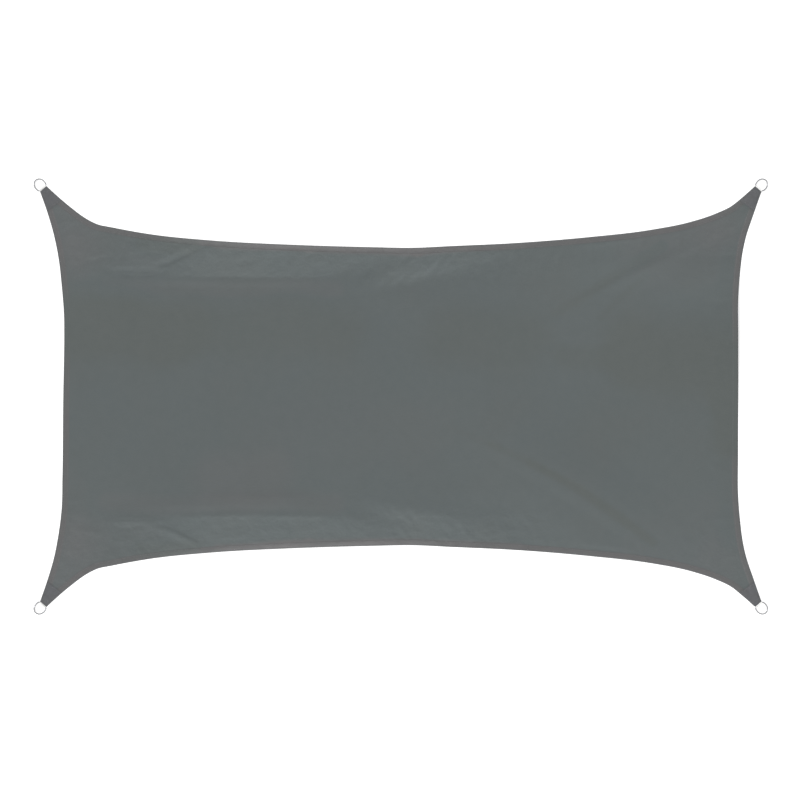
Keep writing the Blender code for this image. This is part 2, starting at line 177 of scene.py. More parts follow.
PAINTED_BANDS = [
    PaintedBand(-2.25, 0.47, -1.55, 0.48, 0.24, -0.6),
    PaintedBand(-2.25, 0.47, -0.45, 0.43, 0.20, -0.7),
    PaintedBand(-2.25, 0.20, -1.70, 0.22, 0.14, -0.2),
    PaintedBand(0.35, 0.41, 0.82, 0.35, 0.22, -0.7),
    PaintedBand(1.12, 0.27, 1.40, 0.27, 0.09, -0.6),
    PaintedBand(1.50, 0.42, 1.52, 0.20, 0.16, -0.5),
    PaintedBand(1.70, 0.31, 2.25, 0.15, 0.27, -1.0),
    PaintedBand(2.20, 0.20, 2.24, -0.32, 0.12, -1.0),
    PaintedBand(1.40, -0.18, 2.10, -0.43, 0.23, -0.2),
    PaintedBand(1.60, -0.88, 2.15, -0.98, 0.24, -0.2),
    PaintedBand(-0.85, -0.30, 0.10, -0.20, 0.26, 0.1),
    PaintedBand(-1.25, -0.54, -0.90, -0.57, 0.18, 0.3),
    PaintedBand(1.05, 0.86, 2.25, 0.72, 0.26, -0.15),
    PaintedBand(1.05, 0.56, 1.78, 1.03, 0.036, -0.5),
    PaintedBand(1.36, 0.54, 1.66, 0.82, 0.026, -0.4),
    PaintedBand(0.30, -0.20, 0.66, -0.35, 0.028, -0.3),
    PaintedBand(0.62, -0.33, 0.86, -0.44, 0.026, -0.5),
    PaintedBand(0.88, -0.46, 1.22, -0.63, 0.030, -1.0),
    PaintedBand(1.22, -0.63, 1.72, -0.99, 0.034, -1.0),
]

# Short gathers that run inwards from the hem, at uneven steps
GATHER_STEP = (0.07, 0.21)
GATHER_LENGTH = (0.09, 0.26)
GATHER_WIDTH = (0.024, 0.040)
GATHER_RISE = (0.0005, 0.0015)
GATHER_LEAN = 0.5
GATHER_START = 0.2 * HEM_WIDTH
GATHER_CLEAR = 0.32  # none starts this near a tip
GATHER_SEED = 7

# The fine crinkle. It is full beside the long edges, where it sets in over one pair of Y and
# ends over a pair of X, and less in the right corners.
CRINKLE_ANYWHERE = 0.12
CRINKLE_BESIDE_Y = (0.72, 0.84)
CRINKLE_END_X = (0.55, 1.35)
CRINKLE_IN_CORNER = 0.5
CRINKLE_CORNER_Y = (0.70, 1.10)
CRINKLE_CORNER_X = (1.70, 2.10)

# Cells of the sheet between the hems. Its underside has cells twice as large.
CELLS_X = 320
CELLS_Y = 168
CROWDING = 0.25

# Patch over each tip
PATCH = 0.0010
PATCH_LENGTH = 0.145
PATCH_INSET = 0.002
PATCH_CELLS = (64, 44)
PATCH_ROUND = 0.0022
SEAM_IN = 0.006
SEAM_DIP = 0.0004
SEAM_HALF = 0.0022
SEAM_FINE = 60
# Its side seams and the sides of its crossed box, as shares of its width from its sides
SEAM_NEAR_TIP = 0.09
SEAM_FAR = SEAM_NEAR_TIP * 0.55
BOX_SIDE = 0.16
BOX_SHORT = 0.004  # the box ends this far before the webbing's tail does

# Webbing loop and its double tail
WEBBING = 0.0015
WEBBING_WIDTH = 0.054
LOOP_INNER = 0.0042
LOOP_OUTER = LOOP_INNER + WEBBING
LOOP_OUT = 0.0063
TAIL_LENGTH = 0.040
TAIL_LOW = HEM_TOP + GAP
TAIL_HIGH = TAIL_LOW + 2 * WEBBING
TAIL_BEND = 0.004  # the tail is level up to this far inside the cloth's edge
OVER_LENGTH = TAIL_LENGTH + 0.004  # the patch is raised over the tail for this far
OVER_HALF = WEBBING_WIDTH / 2 + 0.001
DOWN_LENGTH = 0.022
DOWN_WIDTH = 0.006
RIBS = 20
RIB_HEIGHT = 0.00018
RIB_STEPS = 4
LOOP_STEPS = 30

# Ring of round wire
WIRE = 0.0075
BAR_HALF = 0.0275
RING_HEIGHT = 0.070
CORNER_RADIUS = 0.0075
LEG_RADIUS = 0.087
LEG_LEAN = math.radians(14)
BAR_STEPS = 12
CORNER_STEPS = 14
LEG_STEPS = 12
BOW_STEPS = 36
WIRE_SIDES = 20

# Stitches. Each keeps its full section over the middle of its length. The section is given as
# (aside, up) in half thicknesses of the thread.
STITCH_PITCH = 0.006
STITCH_LENGTH = 0.0052
STITCH_FULL = 0.55
STITCH_SECTION = [(0, 1), (1, 0.25), (0, -0.8), (-1, 0.25)]
THREAD = 0.0011
STITCH_SINK = THREAD / 3
STITCH_RISE = THREAD / 5
NEARBY = 0.001  # to either side of a stitch, for its direction

# sRGB colours: of the cloth, of its darkest and palest bands of painted shade and painted light
# and its warmer spots, of the hem, of the painted shade on its outer edge, and of the other parts
CLOTH_GREY = (90.9, 97.2, 97.7)
CLOTH_PAINTED_SHADE = (89.4, 94.6, 93.3)
CLOTH_PAINTED_LIGHT = (100.6, 100, 100.5)
CLOTH_WARM = (92.3, 96.7, 95.9)
HEM_GREY = (96.9, 96.4, 96.9)
EDGE_PAINTED_SHADE = (83, 84, 85)
PATCH_GREY = (91.0, 92.4, 95.0)
THREAD_GREY = (108, 111, 112)
WEBBING_GREY = (216, 216, 215)
STEEL_GREY = (160, 161, 163)

# Weaves and reliefs. Painted shade darkens the rolled edge between two distances from it.
WEAVE_PITCH = 0.0018
WEBBING_PITCH = 0.0014
WEAVE_RELIEF = 0.00012
WRINKLE_RELIEF = 0.0050
TWIST_RELIEF = 0.0001
DRAWN_RELIEF = 0.00002
EDGE_SHADE_FROM = 0.0085
EDGE_SHADE_FULL = 0.0015
NOISE_SPAN = (0.3, 0.7)  # where most of a noise's values lie

# Stage and light. Soft strips stand low beside the long edges, so that low folds show.
FLOOR_SIDE = 240.0
WHITE = (1, 1, 1, 1)
FLOOR_PALE = (0.95, 0.95, 0.95, 1)
FLOOR_GLOW = 0.25
SKY_STRENGTH = 0.815
KEY_AZIMUTH = 280
KEY_ELEVATION = 35
KEY_ANGLE = 16
KEY_STRENGTH = 1.1
Strip = namedtuple("Strip", "name y watts")
STRIPS = [Strip("rear_strip", 3.2, 165), Strip("front_strip", -3.2, 198)]
STRIP_HEIGHT = 0.17
STRIP_SIZE = (7.0, 0.25)

Tip = namedtuple("Tip", "name side end")
TIPS = [
    Tip("rear_left", -1, 1),
    Tip("rear_right", 1, 1),
    Tip("front_left", -1, -1),
    Tip("front_right", 1, -1),
]


# Curves in plan


def smooth_curve(points):
    """A smooth curve through the points, finely drawn at even steps."""
    points = np.array(points)
    runs = np.diff(points, axis=0)
    spans = np.linalg.norm(runs, axis=1)[:, None]
    slopes = runs / spans
    tangents = np.empty_like(points)
    tangents[1:-1] = slopes[:-1] * spans[1:] + slopes[1:] * spans[:-1]
    tangents[1:-1] /= spans[:-1] + spans[1:]
    tangents[0] = 1.5 * slopes[0] - 0.5 * tangents[1]
    tangents[-1] = 1.5 * slopes[-1] - 0.5 * tangents[-2]
    knots = np.concatenate([[0], np.cumsum(spans)])
    places = np.linspace(0, knots[-1], FINE)
    part = np.clip(np.searchsorted(knots, places, side="right") - 1, 0, len(spans) - 1)
    span = spans[part]
    t = (places - knots[part])[:, None] / span
    return (
        (2 * t**3 - 3 * t**2 + 1) * points[part]
        + (t**3 - 2 * t**2 + t) * span * tangents[part]
        + (3 * t**2 - 2 * t**3) * points[part + 1]
        + (t**3 - t**2) * span * tangents[part + 1]
    )


def lengths_along(curve):
    """The length of a curve up to each of its points."""
    steps = np.linalg.norm(np.diff(curve, axis=0), axis=1)
    return np.concatenate([[0], np.cumsum(steps)])


def points_at(curve, distances):
    """Places at the given distances along a curve."""
    travelled = lengths_along(curve)
    return np.stack([np.interp(distances, travelled, curve[:, axis]) for axis in (0, 1)], axis=-1)


def crowded_to_ends(curve, count):
    """Points along a curve, closer together near its ends."""
    share = np.linspace(0, 1, count)
    share -= CROWDING * np.sin(2 * math.pi * share) / (2 * math.pi)
    return points_at(curve, share * lengths_along(curve)[-1])


def left_normals(curve):
    """Unit normals to the left of a curve, which point inwards on the cloth's edges."""
    tangents = np.gradient(curve, axis=0)
    tangents /= np.linalg.norm(tangents, axis=1)[:, None]
    return np.stack([-tangents[:, 1], tangents[:, 0]], axis=1)


def shifted_left(curve, distance):
    return curve + distance * left_normals(curve)


def crossing(first, second):
    """Where two finely drawn curves meet, as an index into each."""
    gaps = np.linalg.norm(first[:, None] - second[None], axis=2)
    return np.unravel_index(gaps.argmin(), gaps.shape)


def tip_middle(side, end):
    return np.array([side * TIP_X, end * TIP_Y])


def tip_corner(side, end, on_long_edge):
    """A corner of the straight cut across a tip."""
    half = TIP_WIDTH / 2 if on_long_edge else -TIP_WIDTH / 2
    step = np.array([-side * math.cos(TIP_TURN), end * math.sin(TIP_TURN)])
    return tip_middle(side, end) + half * step


def cloth_edges():
    """The four edges in turn, anticlockwise: front, right, rear and left."""
    mirrored = [(x, -y) for x, y in RIGHT_EDGE_REAR_HALF[:-1]]
    front = [(x, -y) for x, y in REAR_EDGE]
    right = mirrored + RIGHT_EDGE_REAR_HALF[::-1]
    return [
        smooth_curve([tip_corner(-1, -1, True), *front, tip_corner(1, -1, True)]),
        smooth_curve([tip_corner(1, -1, False), *right, tip_corner(1, 1, False)]),
        smooth_curve([tip_corner(1, 1, True), *REAR_EDGE[::-1], tip_corner(-1, 1, True)]),
        smooth_curve([tip_corner(-1, 1, False), *LEFT_EDGE, tip_corner(-1, -1, False)]),
    ]


def hem_lines(edges, width):
    """Lines inside the edges, trimmed where two of them meet inside a tip."""
    shifted = [shifted_left(edge, width) for edge in edges]
    ends = [crossing(shifted[k], shifted[(k + 1) % 4]) for k in range(4)]
    corners = [shifted[k][ends[k][0]] for k in range(4)]
    lines = []
    for k in range(4):
        first = ends[k - 1][1]
        last = ends[k][0]
        inside = shifted[k][first + 1 : last]
        lines.append(np.vstack([corners[k - 1], inside, corners[k]]))
    return lines


def grid_between(front, right, rear, left):
    """A grid of points that fits four edges, all given anticlockwise."""
    rear = rear[::-1]
    left = left[::-1]
    u = np.linspace(0, 1, len(front))[:, None, None]
    v = np.linspace(0, 1, len(left))[None, :, None]
    along = (1 - v) * front[:, None] + v * rear[:, None]
    across = (1 - u) * left[None] + u * right[None]
    front_corners = (1 - u) * front[0] + u * front[-1]
    rear_corners = (1 - u) * rear[0] + u * rear[-1]
    return along + across - ((1 - v) * front_corners + v * rear_corners)


EDGES = cloth_edges()


# Heights


def smooth_step(value, low, high):
    """From 0 at low to 1 at high, level at both."""
    t = np.clip((value - low) / (high - low), 0, 1)
    return t * t * (3 - 2 * t)


def crest_and_off(points, line):
    """How high a bowed line's crest is beside each point, from 0 to 1, and how far off it is."""
    start = np.array([line.x1, line.y1])
    run = np.array([line.x2, line.y2]) - start
    length = np.linalg.norm(run)
    along = run / length
    across = np.array([-along[1], along[0]])
    t = np.clip((points - start) @ along / length, 0, 1)
    crest = 4 * t * (1 - t)
    off = (points - start) @ across - line.bow * crest
    return crest, off


def raised(points, folds):
    """How far the given folds raise the cloth."""
    points = np.asarray(points)
    height = np.zeros(points.shape[:-1])
    for fold in folds:
        crest, off = crest_and_off(points, fold)
        flank = np.clip(np.abs(off) / np.where(off > 0, fold.left, fold.right), 0, 1)
        height += fold.rise * crest**1.5 * (1 - flank**2) ** 2
    return height


def lift(points):
    """How far the folds raise the cloth off the floor, as in the solids."""
    points = np.asarray(points)
    height = raised(points, FOLDS)
    for tip in TIPS:
        away = np.linalg.norm(points - tip_middle(tip.side, tip.end), axis=-1)
        height = height * smooth_step(away, FLAT_TIP, FULL_TIP)
    return height


def all_creases():
    """The creases of both tables, with the first one's mirrored to the front half."""
    mirrored = [
        Fold(f.x1, -f.y1, f.x2, -f.y2, -f.bow, f.right, f.left, f.rise) for f in MIRRORED_CREASES
    ]
    return MIRRORED_CREASES + mirrored + CREASES


def painted_light_and_shade(points):
    """How much painted light, up to 1, or painted shade, down to -1, the cloth has."""
    mirrored = [band._replace(y1=-band.y1, y2=-band.y2) for band in MIRRORED_PAINTED_BANDS]
    x = points[:, 0]
    wander = sum(wave.size * np.sin(wave.per_metre * x + wave.start) for wave in BAND_WAVES)
    tone = np.zeros(len(points))
    for band in MIRRORED_PAINTED_BANDS + mirrored + PAINTED_BANDS:
        start = np.array([band.x1, band.y1])
        run = np.array([band.x2, band.y2]) - start
        share = np.clip((points - start) @ run / (run @ run), 0, 1)
        gap = points - start - share[:, None] * run
        gap[:, 1] += wander * min(1, band.half_width / WANDERING_WIDTH)
        away = np.linalg.norm(gap, axis=1) / band.half_width
        tone += band.tone * (1 - smooth_step(away, BAND_FULL, BAND_GONE))
    return np.clip(tone, -1, 1)


def crinkled(points):
    """How much of the fine crinkle shows, from 0 to 1."""
    x, y = points[:, 0], np.abs(points[:, 1])
    beside = smooth_step(y, *CRINKLE_BESIDE_Y) * (1 - smooth_step(x, *CRINKLE_END_X))
    corner = smooth_step(y, *CRINKLE_CORNER_Y) * smooth_step(x, *CRINKLE_CORNER_X)
    return np.clip(CRINKLE_ANYWHERE + beside + CRINKLE_IN_CORNER * corner, 0, 1)


def hem_gathers():
    """Short creases that start on the hem and run inwards at uneven steps and slants."""
    draw = random.Random(GATHER_SEED)
    found = []
    for edge in EDGES:
        inwards = left_normals(edge)
        travelled = lengths_along(edge)
        place = GATHER_CLEAR
        while place < travelled[-1] - GATHER_CLEAR:
            k = np.searchsorted(travelled, place)
            lean = draw.uniform(-GATHER_LEAN, GATHER_LEAN)
            along = np.array([inwards[k][1], -inwards[k][0]])
            way = inwards[k] + lean * along
            start = edge[k] + GATHER_START * inwards[k]
            end = start + draw.uniform(*GATHER_LENGTH) * way
            width = draw.uniform(*GATHER_WIDTH)
            found.append(Fold(*start, *end, 0.0, width, width, draw.uniform(*GATHER_RISE)))
            place += draw.uniform(*GATHER_STEP)
    return found


ALL_CREASES = all_creases()
GATHERS = hem_gathers()


def underside(points):
    """The height of the cloth's underside, which is nowhere below the floor."""
    return np.maximum(lift(points) + raised(points, ALL_CREASES), 0)


def edge_distance(points):
    """The distance from each point to the nearest edge of the cloth."""
    outline = np.vstack(EDGES)
    flat = np.asarray(points).reshape(-1, 2)
    nearest = [np.linalg.norm(outline - point, axis=1).min() for point in flat]
    return np.array(nearest).reshape(np.asarray(points).shape[:-1])


def hem_height(distance):
    """The height of the hem's upper side at a distance from the edge, with its inner step."""
    top = HEM_SECTION[:TOP_ROWS][::-1]
    return np.interp(distance, [place for place, _ in top], [height for _, height in top])


# Meshes


def add_mesh(name, vertices, faces, finish, smooth_angle=50):
    """An object that is smooth but for the edges sharper than an angle."""
    mesh = bpy.data.meshes.new(name)
    mesh.from_pydata([tuple(map(float, vertex)) for vertex in vertices], [], faces)
    mesh.materials.append(finish)
    mesh.shade_smooth()
    mesh.set_sharp_from_angle(angle=math.radians(smooth_angle))
    made = bpy.data.objects.new(name, mesh)
    bpy.context.scene.collection.objects.link(made)
    return made


def add_numbers(made, name, values):
    """A number for each vertex, which the material reads by its name."""
    made.data.attributes.new(name, "FLOAT", "POINT").data.foreach_set("value", values)


def grid_faces(index, flipped=False):
    """Quads over a grid of vertex indices."""
    quads = np.stack([index[:-1, :-1], index[1:, :-1], index[1:, 1:], index[:-1, 1:]], axis=-1)
    quads = quads.reshape(-1, 4)
    return (quads[:, ::-1] if flipped else quads).tolist()


def rim_of(index):
    """A grid's rim anticlockwise, as four runs in turn that share their corners."""
    front = index[:, 0]
    rear = index[::-1, -1]
    return np.concatenate([front, index[-1], rear, index[0, ::-1]])


def coarse_faces(index):
    """Downward faces over every second row and column, which take in each vertex of the rim."""
    wide, deep = index.shape[0] - 1, index.shape[1] - 1
    faces = []
    for i in range(0, wide, 2):
        for j in range(0, deep, 2):
            loop = [(i, j), (i + 1, j), (i + 2, j), (i + 2, j + 1)]
            loop += [(i + 2, j + 2), (i + 1, j + 2), (i, j + 2), (i, j + 1)]
            kept = [
                (a, b)
                for a, b in loop
                if (a % 2 == 0 and b % 2 == 0) or a in (0, wide) or b in (0, deep)
            ]
            faces.append([int(index[a, b]) for a, b in kept[::-1]])
    return faces


def build_sail(finish):
    """The cloth with its folded hem, as one closed sheet."""
    cells = [CELLS_X, CELLS_Y, CELLS_X, CELLS_Y]
    outer = [crowded_to_ends(edge, n + 1) for edge, n in zip(EDGES, cells)]
    inner = [crowded_to_ends(line, n + 1) for line, n in zip(hem_lines(EDGES, PANEL_IN), cells)]
    grid = grid_between(*inner)
    size = grid.shape[:2]
    gathers = raised(grid, GATHERS)
    below = underside(grid)

    plan = [grid.reshape(-1, 2)]
    heights = [(below + CLOTH + gathers).ravel()]
    distances = [np.full(size[0] * size[1], PANEL_IN)]
    top = np.arange(size[0] * size[1]).reshape(size)
    faces = grid_faces(top)
    count = top.size

    i, j = np.indices(size)
    rim = (i == 0) | (j == 0) | (i == size[0] - 1) | (j == size[1] - 1)
    kept = ((i % 2 == 0) & (j % 2 == 0)) | rim
    bottom = np.full(size, -1)
    bottom[kept] = count + np.arange(kept.sum())
    count += int(kept.sum())
    plan.append(grid[kept])
    heights.append(below[kept])
    distances.append(np.full(int(kept.sum()), PANEL_IN))
    faces += coarse_faces(bottom)

    # The hem goes round the sheet as one closed band, with a narrow cell across each tip.
    inside = np.vstack(inner)
    outside = np.vstack(outer)
    rows = [rim_of(top)]
    for k, (distance, height) in enumerate(HEM_SECTION):
        share = distance / PANEL_IN
        places = outside + share * (inside - outside)
        puffed = raised(places, GATHERS) if k < TOP_ROWS else 0
        plan.append(places)
        heights.append(underside(places) + height + puffed)
        distances.append(np.full(len(places), distance))
        rows.append(count + np.arange(len(places)))
        count += len(places)
    rows.append(rim_of(bottom))
    for first, second in zip(rows[:-1], rows[1:]):
        for k in range(len(first)):
            after = (k + 1) % len(first)
            loop = [first[k], second[k], second[after], first[after]]
            faces.append([int(v) for n, v in enumerate(loop) if v != loop[n - 1]])

    vertices = np.column_stack([np.vstack(plan), np.concatenate(heights)])
    made = add_mesh("sail", vertices, faces, finish)
    add_numbers(made, "edge_distance", np.concatenate(distances))
    # Painted light and shade from the bands, for the material
    add_numbers(made, "tone", painted_light_and_shade(vertices[:, :2]))
    add_numbers(made, "crinkle", crinkled(vertices[:, :2]))
    return made


def edges_from_tip(tip):
    """The long and the short edge that meet at a tip, both drawn away from it."""
    front, right, rear, left = EDGES
    long_edge = front if tip.end < 0 else rear
    short_edge = left if tip.side < 0 else right
    middle = tip_middle(tip.side, tip.end)
    drawn = []
    for edge in (long_edge, short_edge):
        starts_here = np.linalg.norm(edge[0] - middle) < np.linalg.norm(edge[-1] - middle)
        drawn.append(edge if starts_here else edge[::-1])
    return drawn


def across_tip(places, tip):
    """How far places are from a tip's axis, positive towards the long edge."""
    towards = np.array([-tip.side * math.cos(TIP_TURN), tip.end * math.sin(TIP_TURN)])
    return (places - tip_middle(tip.side, tip.end)) @ towards


def patch_places(tip, distances, shares):
    """Places on a patch: by the distance from the tip, and by the share of the way across."""
    long_edge, short_edge = edges_from_tip(tip)
    one = points_at(long_edge, distances)
    other = points_at(short_edge, distances)
    run = other - one
    inset = PATCH_INSET * run / np.linalg.norm(run, axis=1)[:, None]
    one = one + inset
    other = other - inset
    return one[:, None] + np.asarray(shares)[None, :, None] * (other - one)[:, None]


def seam_lines():
    """The patch's rows of stitches, from and to, each as (distance from the tip, share across)."""
    end = PATCH_LENGTH - SEAM_IN
    box_end = TAIL_LENGTH - BOX_SHORT
    return [
        [(SEAM_IN, SEAM_NEAR_TIP), (end, SEAM_FAR)],
        [(SEAM_IN, 1 - SEAM_NEAR_TIP), (end, 1 - SEAM_FAR)],
        [(end, SEAM_FAR), (end, 1 - SEAM_FAR)],
        [(end - SEAM_IN, SEAM_FAR), (end - SEAM_IN, 1 - SEAM_FAR)],
        [(SEAM_IN, SEAM_NEAR_TIP), (SEAM_IN, 1 - SEAM_NEAR_TIP)],
        [(box_end, BOX_SIDE), (box_end, 1 - BOX_SIDE)],
        [(SEAM_IN, BOX_SIDE), (box_end, 1 - BOX_SIDE)],
        [(SEAM_IN, 1 - BOX_SIDE), (box_end, BOX_SIDE)],
    ]


def seam_paths(tip):
    """The same rows as finely drawn curves in plan."""
    paths = []
    for (d1, s1), (d2, s2) in seam_lines():
        t = np.linspace(0, 1, SEAM_FINE)
        distances = d1 + t * (d2 - d1)
        shares = s1 + t * (s2 - s1)
        grids = [patch_places(tip, np.array([d]), [s]) for d, s in zip(distances, shares)]
        paths.append(np.array([grid[0, 0] for grid in grids]))
    return paths


def patch_low(places, tip):
    """The height of a patch's underside over the hem, the webbing's tail and the cloth."""
    middle = tip_middle(tip.side, tip.end)
    outwards = np.array([tip.side * math.sin(TIP_TURN), tip.end * math.cos(TIP_TURN)])
    back = (middle - places) @ outwards
    off = np.abs(across_tip(places, tip))
    over = 1 - smooth_step(back, OVER_LENGTH, OVER_LENGTH + DOWN_LENGTH)
    over *= 1 - smooth_step(off, OVER_HALF, OVER_HALF + DOWN_WIDTH)
    settled = smooth_step(edge_distance(places), HEM_WIDTH, HEM_WIDTH + SETTLE_WIDTH)
    settled *= smooth_step(back, OVER_LENGTH + DOWN_LENGTH, PATCH_LENGTH)
    low = HEM_TOP + GAP - settled * (HEM_TOP - CLOTH)
    return low + over * (TAIL_HIGH - HEM_TOP)


def patch_top(places, tip, paths):
    """The height of a patch's upper side, which dips along its seams."""
    stitched = np.vstack(paths)
    flat = places.reshape(-1, 2)
    near = np.array([np.linalg.norm(stitched - place, axis=1).min() for place in flat])
    dip = SEAM_DIP * (1 - smooth_step(near.reshape(places.shape[:-1]), 0, SEAM_HALF))
    return patch_low(places, tip) + PATCH - dip


def build_patch(tip, finish):
    """A patch with a rounded rim, and the paths of its seams."""
    rows, columns = PATCH_CELLS
    distances = np.linspace(PATCH_INSET, PATCH_LENGTH, rows + 1)
    shares = np.linspace(0, 1, columns + 1)
    places = patch_places(tip, distances, shares)
    paths = seam_paths(tip)
    count = places[..., 0].size
    top = np.arange(count).reshape(places.shape[:2])
    bottom = top + count
    rim_top = rim_of(top)
    rim_bottom = rim_of(bottom)
    rim = 2 * count + np.arange(len(rim_top))

    middle = places.mean(axis=(0, 1))
    rim_places = places.reshape(-1, 2)[rim_top]
    inset = places.copy()
    border = np.zeros(places.shape[:2], bool)
    border[[0, -1]] = True
    border[:, [0, -1]] = True
    towards = middle - places[border]
    inset[border] += PATCH_ROUND * towards / np.linalg.norm(towards, axis=1)[:, None]
    low = patch_low(inset, tip)
    high = patch_top(inset, tip, paths)
    vertices = np.vstack([
        np.column_stack([inset.reshape(-1, 2), high.ravel()]),
        np.column_stack([inset.reshape(-1, 2), low.ravel()]),
        np.column_stack([rim_places, patch_low(rim_places, tip) + 0.5 * PATCH]),
    ])
    faces = grid_faces(top) + grid_faces(bottom, flipped=True)
    for first, second in ((rim_top, rim), (rim, rim_bottom)):
        for k in range(len(first)):
            after = (k + 1) % len(first)
            faces.append([int(first[k]), int(second[k]), int(second[after]), int(first[after])])
    made = add_mesh(f"tip_patch_{tip.name}", vertices, faces, finish, 60)
    add_numbers(made, "edge_distance", edge_distance(vertices[:, :2]))
    return made, paths


def tip_frame(tip, out, height):
    """Places local X across the tip, Y out along it and Z up, at a distance out of the cloth."""
    outwards = Vector((tip.side * math.sin(TIP_TURN), tip.end * math.cos(TIP_TURN), 0))
    place = Vector((*tip_middle(tip.side, tip.end), height)) + out * outwards
    across = outwards.cross(Vector((0, 0, 1)))
    turn = Matrix((across, outwards, Vector((0, 0, 1)))).transposed().to_4x4()
    return Matrix.Translation(place) @ turn


def strap_line():
    """The middle of the strap's thickness as (out, up) from the bar's axis, tail to tail."""
    half = WEBBING / 2
    radius = LOOP_INNER + half
    low = TAIL_LOW + half - LOOP_OUTER
    high = TAIL_HIGH - half - LOOP_OUTER
    mouth = -LOOP_OUT
    tail = mouth - TAIL_LENGTH

    def touching(up, sign):
        reach = math.hypot(mouth, up)
        turn = math.acos(min(1, radius / reach))
        return math.atan2(up, mouth) + sign * turn

    first = touching(low, 1)
    last = touching(high, -1) + 2 * math.pi
    if last - first < math.pi:
        last += 2 * math.pi
    if last - first > 2 * math.pi:
        last -= 2 * math.pi
    round_bar = [
        (radius * math.cos(turn), radius * math.sin(turn))
        for turn in np.linspace(first, last, LOOP_STEPS)
    ]
    bend = mouth - TAIL_BEND
    return [(tail, low), (bend, low), *round_bar, (bend, high), (tail, high)]


def build_webbing(tip, finish):
    """The ribbed strap round a ring's bar, with its double tail."""
    line = np.array(strap_line())
    tangents = np.gradient(line, axis=0)
    tangents /= np.linalg.norm(tangents, axis=1)[:, None]
    normals = np.stack([-tangents[:, 1], tangents[:, 0]], axis=1)
    steps = RIBS * RIB_STEPS
    across = np.linspace(-0.5, 0.5, steps + 1) * WEBBING_WIDTH
    ribs = RIB_HEIGHT * np.abs(np.sin(math.pi * RIBS * np.linspace(0, 1, steps + 1)))
    place = tip_frame(tip, LOOP_OUT, LOOP_OUTER)
    vertices = []
    for side in (1, -1):
        for point, normal in zip(line, normals):
            for x, rib in zip(across, ribs):
                thick = WEBBING / 2 - RIB_HEIGHT + rib
                out, up = point + side * thick * normal
                vertices.append(place @ Vector((x, out, up)))
    count = len(line) * len(across)
    first = np.arange(count).reshape(len(line), len(across))
    second = first + count
    faces = grid_faces(first) + grid_faces(second, flipped=True)
    rim_first, rim_second = rim_of(first), rim_of(second)
    for k in range(len(rim_first)):
        after = (k + 1) % len(rim_first)
        loop = [rim_first[k], rim_second[k], rim_second[after], rim_first[after]]
        loop = [int(v) for n, v in enumerate(loop) if v != loop[n - 1]]
        if len(loop) > 2:
            faces.append(loop)
    return add_mesh(f"webbing_loop_{tip.name}", vertices, faces, finish, 60)


def ring_line():
    """The ring's centre line as (across, out) from the middle of its bar."""
    half = []

    def arc(middle, radii, start, end, steps):
        for angle in np.linspace(start, end, steps)[:-1]:
            across = middle[0] + radii[0] * math.cos(angle)
            half.append((across, middle[1] + radii[1] * math.sin(angle)))

    quarter = math.pi / 2
    corner = (BAR_HALF, CORNER_RADIUS)
    for share in np.linspace(0, 1, BAR_STEPS)[:-1]:
        half.append((share * BAR_HALF, 0))
    arc(corner, (CORNER_RADIUS, CORNER_RADIUS), -quarter, -LEG_LEAN, CORNER_STEPS)
    inwards = LEG_RADIUS - CORNER_RADIUS
    leg = (corner[0] - inwards * math.cos(LEG_LEAN), corner[1] + inwards * math.sin(LEG_LEAN))
    arc(leg, (LEG_RADIUS, LEG_RADIUS), -LEG_LEAN, 0, LEG_STEPS)
    half_width = leg[0] + LEG_RADIUS
    arc((0, leg[1]), (half_width, RING_HEIGHT - leg[1]), 0, quarter, BOW_STEPS)
    half.append((0, RING_HEIGHT))
    return half + [(-x, out) for x, out in half[-2:0:-1]]


def build_ring(tip, finish):
    """A D-ring of round wire, whose far end rests on the floor."""
    line = np.array(ring_line())
    after = np.roll(line, -1, axis=0)
    before = np.roll(line, 1, axis=0)
    tangents = after - before
    tangents /= np.linalg.norm(tangents, axis=1)[:, None]
    normals = np.stack([tangents[:, 1], -tangents[:, 0]], axis=1)
    droop = math.asin((LOOP_OUTER - WIRE / 2) / RING_HEIGHT)
    place = tip_frame(tip, LOOP_OUT, LOOP_OUTER) @ Matrix.Rotation(-droop, 4, "X")
    turns = np.linspace(0, 2 * math.pi, WIRE_SIDES, endpoint=False)
    vertices = []
    for point, normal in zip(line, normals):
        for turn in turns:
            x, out = point + WIRE / 2 * math.cos(turn) * normal
            vertices.append(place @ Vector((x, out, WIRE / 2 * math.sin(turn))))
    index = np.arange(len(vertices)).reshape(len(line), WIRE_SIDES)
    closed = np.vstack([index, index[:1]])
    closed = np.hstack([closed, closed[:, :1]])
    return add_mesh(f"d_ring_{tip.name}", vertices, grid_faces(closed), finish, 80)


def stitch_mesh(places, directions, heights):
    """Vertices and faces of one thread stitch at each place, along its direction."""
    vertices = []
    faces = []
    half = STITCH_LENGTH / 2
    sides = len(STITCH_SECTION)
    for place, direction, height in zip(places, directions, heights):
        aside = np.array([-direction[1], direction[0]])
        start = len(vertices)
        vertices.append((*(place - half * direction), height - STITCH_SINK))
        for along in (-STITCH_FULL, STITCH_FULL):
            for x, z in STITCH_SECTION:
                spot = place + along * half * direction + x * THREAD / 2 * aside
                vertices.append((*spot, height + z * THREAD / 2))
        vertices.append((*(place + half * direction), height - STITCH_SINK))
        last = start + 1 + 2 * sides
        for k in range(sides):
            one, two = start + 1 + k, start + 1 + (k + 1) % sides
            faces.append((start, one, two))
            faces.append((one, one + sides, two + sides, two))
            faces.append((last, two + sides, one + sides))
    return vertices, faces


